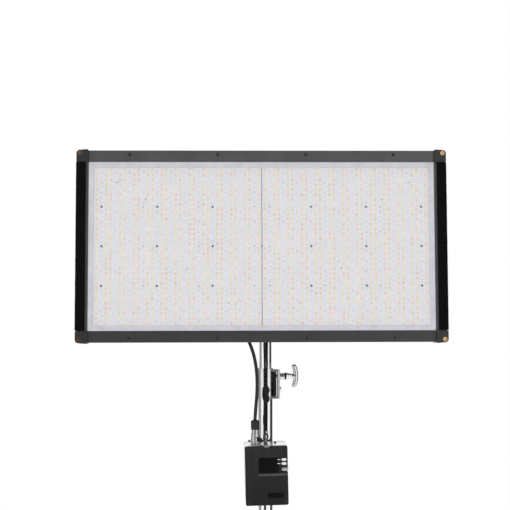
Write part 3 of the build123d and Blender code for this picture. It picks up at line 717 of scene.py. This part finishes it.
def make_loop_tapes(look):
    """Uneven pile round each side rail, with thread loops standing on it."""
    pick = random.Random(3)
    for side, name in ((-1, "left_tape_pile"), (1, "right_tape_pile")):
        section, pile = tape_section(side)
        shape = Shape()
        rings = []
        for row in range(TAPE_ROWS + 1):
            z = -TAPE_HALF_H + 2 * TAPE_HALF_H * row / TAPE_ROWS
            ring = []
            for i, (x, y) in enumerate(section):
                if i < pile:
                    seed = Vector((x * 260, y * 260, z * 260 + 5 * side))
                    lift = 0.55 * MM * noise.noise(seed) + 0.35 * MM * noise.noise(seed * 0.17)
                    on_side = y > -1.1 * MM
                    x += side * lift if on_side else 0.0
                    y -= 0.0 if on_side else lift
                elif abs(x) < 0.48:
                    x += side * 0.4 * MM * noise.noise(Vector((0, 3, z * 180)))
                ring.append((x, y, z))
            rings.append(ring)
        shape.rings(rings)
        for _ in range(TAPE_LOOPS):
            z = pick.uniform(-TAPE_HALF_H + 0.001, TAPE_HALF_H - 0.001)
            spin = pick.uniform(0, math.pi)
            if pick.random() < 0.55:
                place = Vector((side * pick.uniform(0.475, 0.4985), -2.4 * MM, z))
                out = Vector((0, -1, 0))
                along = Vector((math.cos(spin), 0, math.sin(spin)))
            else:
                place = Vector((side * 0.4998, pick.uniform(-0.001, 0.043), z))
                out = Vector((side, 0, 0))
                along = Vector((0, math.cos(spin), math.sin(spin)))
            add_loop(shape, place, out, along, pick.uniform(0.45, 0.8) * MM)
        piece = shape.make(name, PANEL, look, "panel", "loop_tape", sharp=70.0)
        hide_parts("loop_tapes")


# ---- lanyard -------------------------------------------------------------------------


def lay_weave(piece, place):
    """UVs in metres, which the webbing's ribs follow."""
    layer = piece.data.uv_layers.new(name="weave")
    for loop in piece.data.loops:
        layer.data[loop.index].uv = place(piece.data.vertices[loop.vertex_index].co)


def ribbon(name, line, widths, thick, look):
    """A flat strap with rounded selvedges along a line in X, Y, Z, facing the front."""
    shape = Shape()
    rings = []
    profile = [(-0.5, 0.0), (-0.47, 0.42), (-0.36, 0.5), (0.0, 0.44), (0.36, 0.5), (0.47, 0.42),
               (0.5, 0.0), (0.47, -0.42), (0.36, -0.5), (0.0, -0.44), (-0.36, -0.5), (-0.47, -0.42)]
    for place, width in zip(line, widths):
        rings.append([(place.x + u * width, place.y - v * thick, place.z) for u, v in profile])
    shape.rings(rings)
    piece = shape.make(name, Matrix.Identity(4), look, "head", "webbing", sharp=50.0)
    lay_weave(piece, lambda at: (at.z, at.x))
    return piece


def make_lanyard(strap_look, hard_look):
    """Two strands from the peg to the buckle, and a single strap down to the hook."""
    steps = 60
    top, low = PEG_Z - 0.003, 0.394
    strands = []
    for side, name in ((-1, "strap_strand_left"), (1, "strap_strand_right")):
        line, widths = [], []
        for i in range(steps + 1):
            t = i / steps
            width = STRAND_TOP_W * MM + (STRAND_LOW_W - STRAND_TOP_W) * MM * t
            gap = 0.05 * MM + 0.55 * MM * math.exp(-((t - 0.80) / 0.03) ** 2)
            x = HANG.x * t + side * (width / 2 + gap)
            y = HANG.y + side * 0.5 * MM * math.sin(5 * t) * (1 - t)
            line.append(Vector((x, y, top + (low - top) * t)))
            widths.append(width)
        strands.append(ribbon(name, line, widths, STRAP_T, strap_look))
    over = Shape()
    rings = []
    section = ((-0.5, 0), (-0.45, 0.5), (0.45, 0.5), (0.5, 0), (0.45, -0.5), (-0.45, -0.5))
    for i in range(13):
        turn = math.pi * i / 12
        centre = Vector((5.1 * MM * math.cos(turn), HANG.y, PEG_Z + 5.1 * MM * math.sin(turn)))
        spoke = Vector((math.cos(turn), 0, math.sin(turn)))
        rings.append([tuple(centre + spoke * (v * 1.6 * MM) + Vector((0, u * 7.0 * MM, 0)))
                      for u, v in section])
    over.rings(rings)
    crown = over.make("strap_over_peg", Matrix.Identity(4), strap_look, "head", "webbing")
    lay_weave(crown, lambda at: (at.x + at.z, at.y))
    for piece in strands + [crown]:
        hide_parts("strap_loop")

    line = [Vector((HANG.x + 0.3 * MM * math.sin(0.16 * i), HANG.y, 0.3515 - 0.0775 * i / 30))
            for i in range(31)]
    lower = ribbon("strap_lower", line, [STRAP_W] * 31, STRAP_T, strap_look)
    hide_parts("lower_strap")
    fold = [Vector((HANG.x, HANG.y - 1.0 * MM, 0.291 - 0.0175 * i / 8)) for i in range(9)]
    hem = ribbon("strap_hem", fold, [HEM_W] * 9, 1.5 * MM, strap_look)
    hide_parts("lower_strap")
    make_buckle(hard_look)


BUCKLE_OUTLINE = [     # x and z in millimetres from the buckle's own centre
    (0, 24.2), (4.8, 23.6), (6.6, 19.5), (9.6, 14.5), (10.7, 9.0), (8.8, 4.0), (7.6, -1.0),
    (8.6, -6.5), (10.4, -10.5), (9.8, -16.0), (8.0, -21.0), (4.6, -24.0), (0, -24.2),
    (-4.6, -23.6), (-7.2, -19.0), (-9.0, -15.4), (-8.6, -12.4), (-10.6, -9.0), (-9.6, -5.6),
    (-11.0, -2.0), (-9.9, 1.8), (-10.9, 5.4),
    (-9.4, 8.6), (-10.4, 12.6), (-8.4, 16.6), (-6.4, 20.6), (-4.6, 23.6),
]


def make_buckle(look):
    """Side-release buckle with finger lobes and grip ridges."""
    outline = smooth_outline(BUCKLE_OUTLINE, 4)
    centre_x, centre_z = -0.5 * MM, 0.3738
    levels = ((0.80, -5.4), (0.93, -5.0), (1.0, -3.6), (1.0, 3.6), (0.93, 5.0), (0.80, 5.4))
    shape = Shape()
    shape.rings([[(centre_x + p.x * s * MM, HANG.y + y * MM, centre_z + p.y * s * MM)
                  for p in outline] for s, y in levels])
    body = shape.make("buckle_body", Matrix.Identity(4), look, "head", "black_plastic", sharp=55.0)
    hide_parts("buckle")
    ridges = Shape()
    for z in (-14.0, -10.5, -7.0, 8.0, 11.5):
        centre = (centre_x, centre_z + z * MM)
        rings = [oval(centre, 5.6 * MM * s, 0.9 * MM * s, HANG.y - y * MM, 16, 3.0)
                 for s, y in ((1.0, 5.2), (1.0, 5.45), (0.8, 5.6))]
        ridges.rings(rings)
    grip = ridges.make("buckle_ridges", Matrix.Identity(4), look, "head", "black_plastic")
    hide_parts("buckle")


LATCH_OUTLINE = [      # x and z in millimetres from the middle of the latch's wings
    (-3.4, 6.9), (0.3, 5.0), (3.1, 6.3), (5.0, 5.3), (2.5, 1.6), (4.8, -2.2), (6.0, -5.9),
    (3.1, -6.5), (0.3, -4.0), (-3.1, -6.5), (-4.2, -2.9), (-2.5, 0.0), (-4.2, 3.6),
]


def make_latch(look):
    """Winged thumb lever of the coupling ring: wings in front, an arm back to its foot."""
    outline = smooth_outline(LATCH_OUTLINE, 3)
    middle_x, middle_z = 8.6, 14.5      # from the socket, in millimetres
    levels = ((0.85, -16.0), (1.0, -15.2), (1.0, -13.4), (0.85, -12.6))
    wings = Shape()
    wings.rings([[(SOCKET.x + (middle_x + p.x * s) * MM, SOCKET.y + y * MM,
                   SOCKET.z + (middle_z + p.y * s) * MM) for p in outline] for s, y in levels])
    arm = [(14.7, 7.5), (18.4, 7.5), (18.4, 17.5), (14.7, 17.5)]
    foot = [(14.7, 2.7), (18.4, 2.7), (18.4, 13.5), (14.7, 13.5)]
    levels = [(-15.4, [(x - 3.4, z) for x, z in arm]), (-13.6, arm), (-3.0, foot), (3.0, foot)]
    wings.rings([[(SOCKET.x + x * MM, SOCKET.y + y * MM, SOCKET.z + z * MM) for x, z in ring]
                 for y, ring in levels])
    latch = wings.make("latch_wings", CONTROL, look, "latch_lever", "black_plastic", sharp=50.0)
    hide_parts("latch_lever")


# ---- small marks and caps on the control box -----------------------------------------


def make_button_marks(look):
    """Two short plain dashes printed beside the buttons."""
    marks = Shape()
    for z in BUTTON_ROWS:
        rings = [oval((34.0 * MM, z * MM), 3.9 * MM * s, 0.95 * MM * s, y * MM, 16, 4.0)
                 for s, y in ((1.0, 3.5), (1.0, 2.82), (0.92, 2.76))]
        marks.rings(rings)
    marks.make("button_marks", CONTROL, look, "head", "button_white")


def make_sill_highlight(look):
    """Lighter strip along the sloped sill under the screen: a painted highlight where the sill
    catches the light from above.
    """
    sill = Shape()
    section = [(3.28, 4.35), (3.20, 4.40), (0.90, -0.82), (0.98, -0.87)]
    sill.rings([[(x * MM, y * MM, z * MM) for y, z in section] for x in (-22.2, 58.0)])
    sill.make("sill_highlight_strip", CONTROL, look, "head", "plate_black", smooth=False)


def make_rail_washers(look):
    """Dark cup washers under the rails' screws."""
    washers = Shape()
    profile = ((4.3, 0.0), (4.3, 0.25), (3.8, 0.45), (2.5, 0.45), (2.5, 0.0))
    for x, z in RAIL_SCREWS:
        rings = [oval((x, z), r * MM, r * MM, -h * MM, 24) for r, h in profile]
        washers.rings(rings)
    washers.make("rail_washers", PANEL, look, "panel", "black_steel")


def make_socket_cap(look):
    """The round-ended dust cap tethered at the socket's left."""
    cap = Shape()
    x, y, z = -44.4 * MM, SOCKET.y, 89.0 * MM
    ball, stem = 3.1 * MM, 1.1 * MM
    reach, fall = 7.0 * MM, 2.4 * MM
    rings = []
    for step in range(9):
        lift = math.radians(-80 + 160 * step / 8)
        radius = ball * math.cos(lift)
        level = z + ball * math.sin(lift)
        rings.append([(x + radius * math.cos(a), y + radius * math.sin(a), level)
                      for a in (2 * math.pi * i / 18 for i in range(18))])
    cap.rings(rings)
    cap.rings([[(x + t * reach, y + stem * math.cos(a), z - t * fall + stem * math.sin(a))
                for a in (2 * math.pi * i / 10 for i in range(10))] for t in (0.0, 0.35, 0.7, 1.0)])
    cap.make("socket_cap", CONTROL, look, "head", "rubber")


# ---- finish of the CAD pieces ---------------------------------------------------------


def dress_nodes(looks):
    """Each CAD node takes its slot's look; the long top and bottom rails take a lighter and a
    darker copy of one grey, painted light on the top rail and painted shade on the bottom one.
    """
    slots = {part["node"]: part["material_slot"] for part in frame["record"]["subparts"]}
    # Painted light and shade: both rails are the same grey extrusion, given a lit copy on top and a
    # shaded copy below.
    light, dark = (0.080, 0.0805, 0.081), (0.042, 0.0425, 0.043)
    own = {
        "top_rail": painted("rail_top_painted_light", light, (0.15, 0.152, 0.152), RAIL_ROUGH, RAIL_GRAIN),
        "bottom_rail": painted("rail_low_painted_shade", dark, (0.11, 0.112, 0.112), RAIL_ROUGH, RAIL_GRAIN),
    }
    for name, piece in frame["nodes"].items():
        look = own.get(name) or looks[slots[name]]
        for slot in piece.material_slots:
            slot.material = look


make_camera()
LOOKS = make_materials()
make_cable(LOOKS["rubber"])
make_world()
make_lights()
make_floor()
dress_nodes(LOOKS)
make_phosphor_leds()
make_dome_leds()
make_chips()
make_screw_washers(LOOKS["nylon"])
make_seam_pin(LOOKS["black_steel"])
make_loop_tapes(LOOKS["loop_tape"])
make_lanyard(LOOKS["webbing"], LOOKS["black_plastic"])
make_button_marks(LOOKS["button_white"])
make_socket_cap(LOOKS["rubber"])
make_latch(LOOKS["black_plastic"])
# The sill strip's lighter colour is a painted highlight.
make_sill_highlight(plastic("sill_painted_highlight", (0.075, 0.075, 0.077), rough=(0.3, 0.4), strength=0.05))
make_rail_washers(LOOKS["black_steel"])

bpy.context.scene.view_settings.view_transform = "Standard"
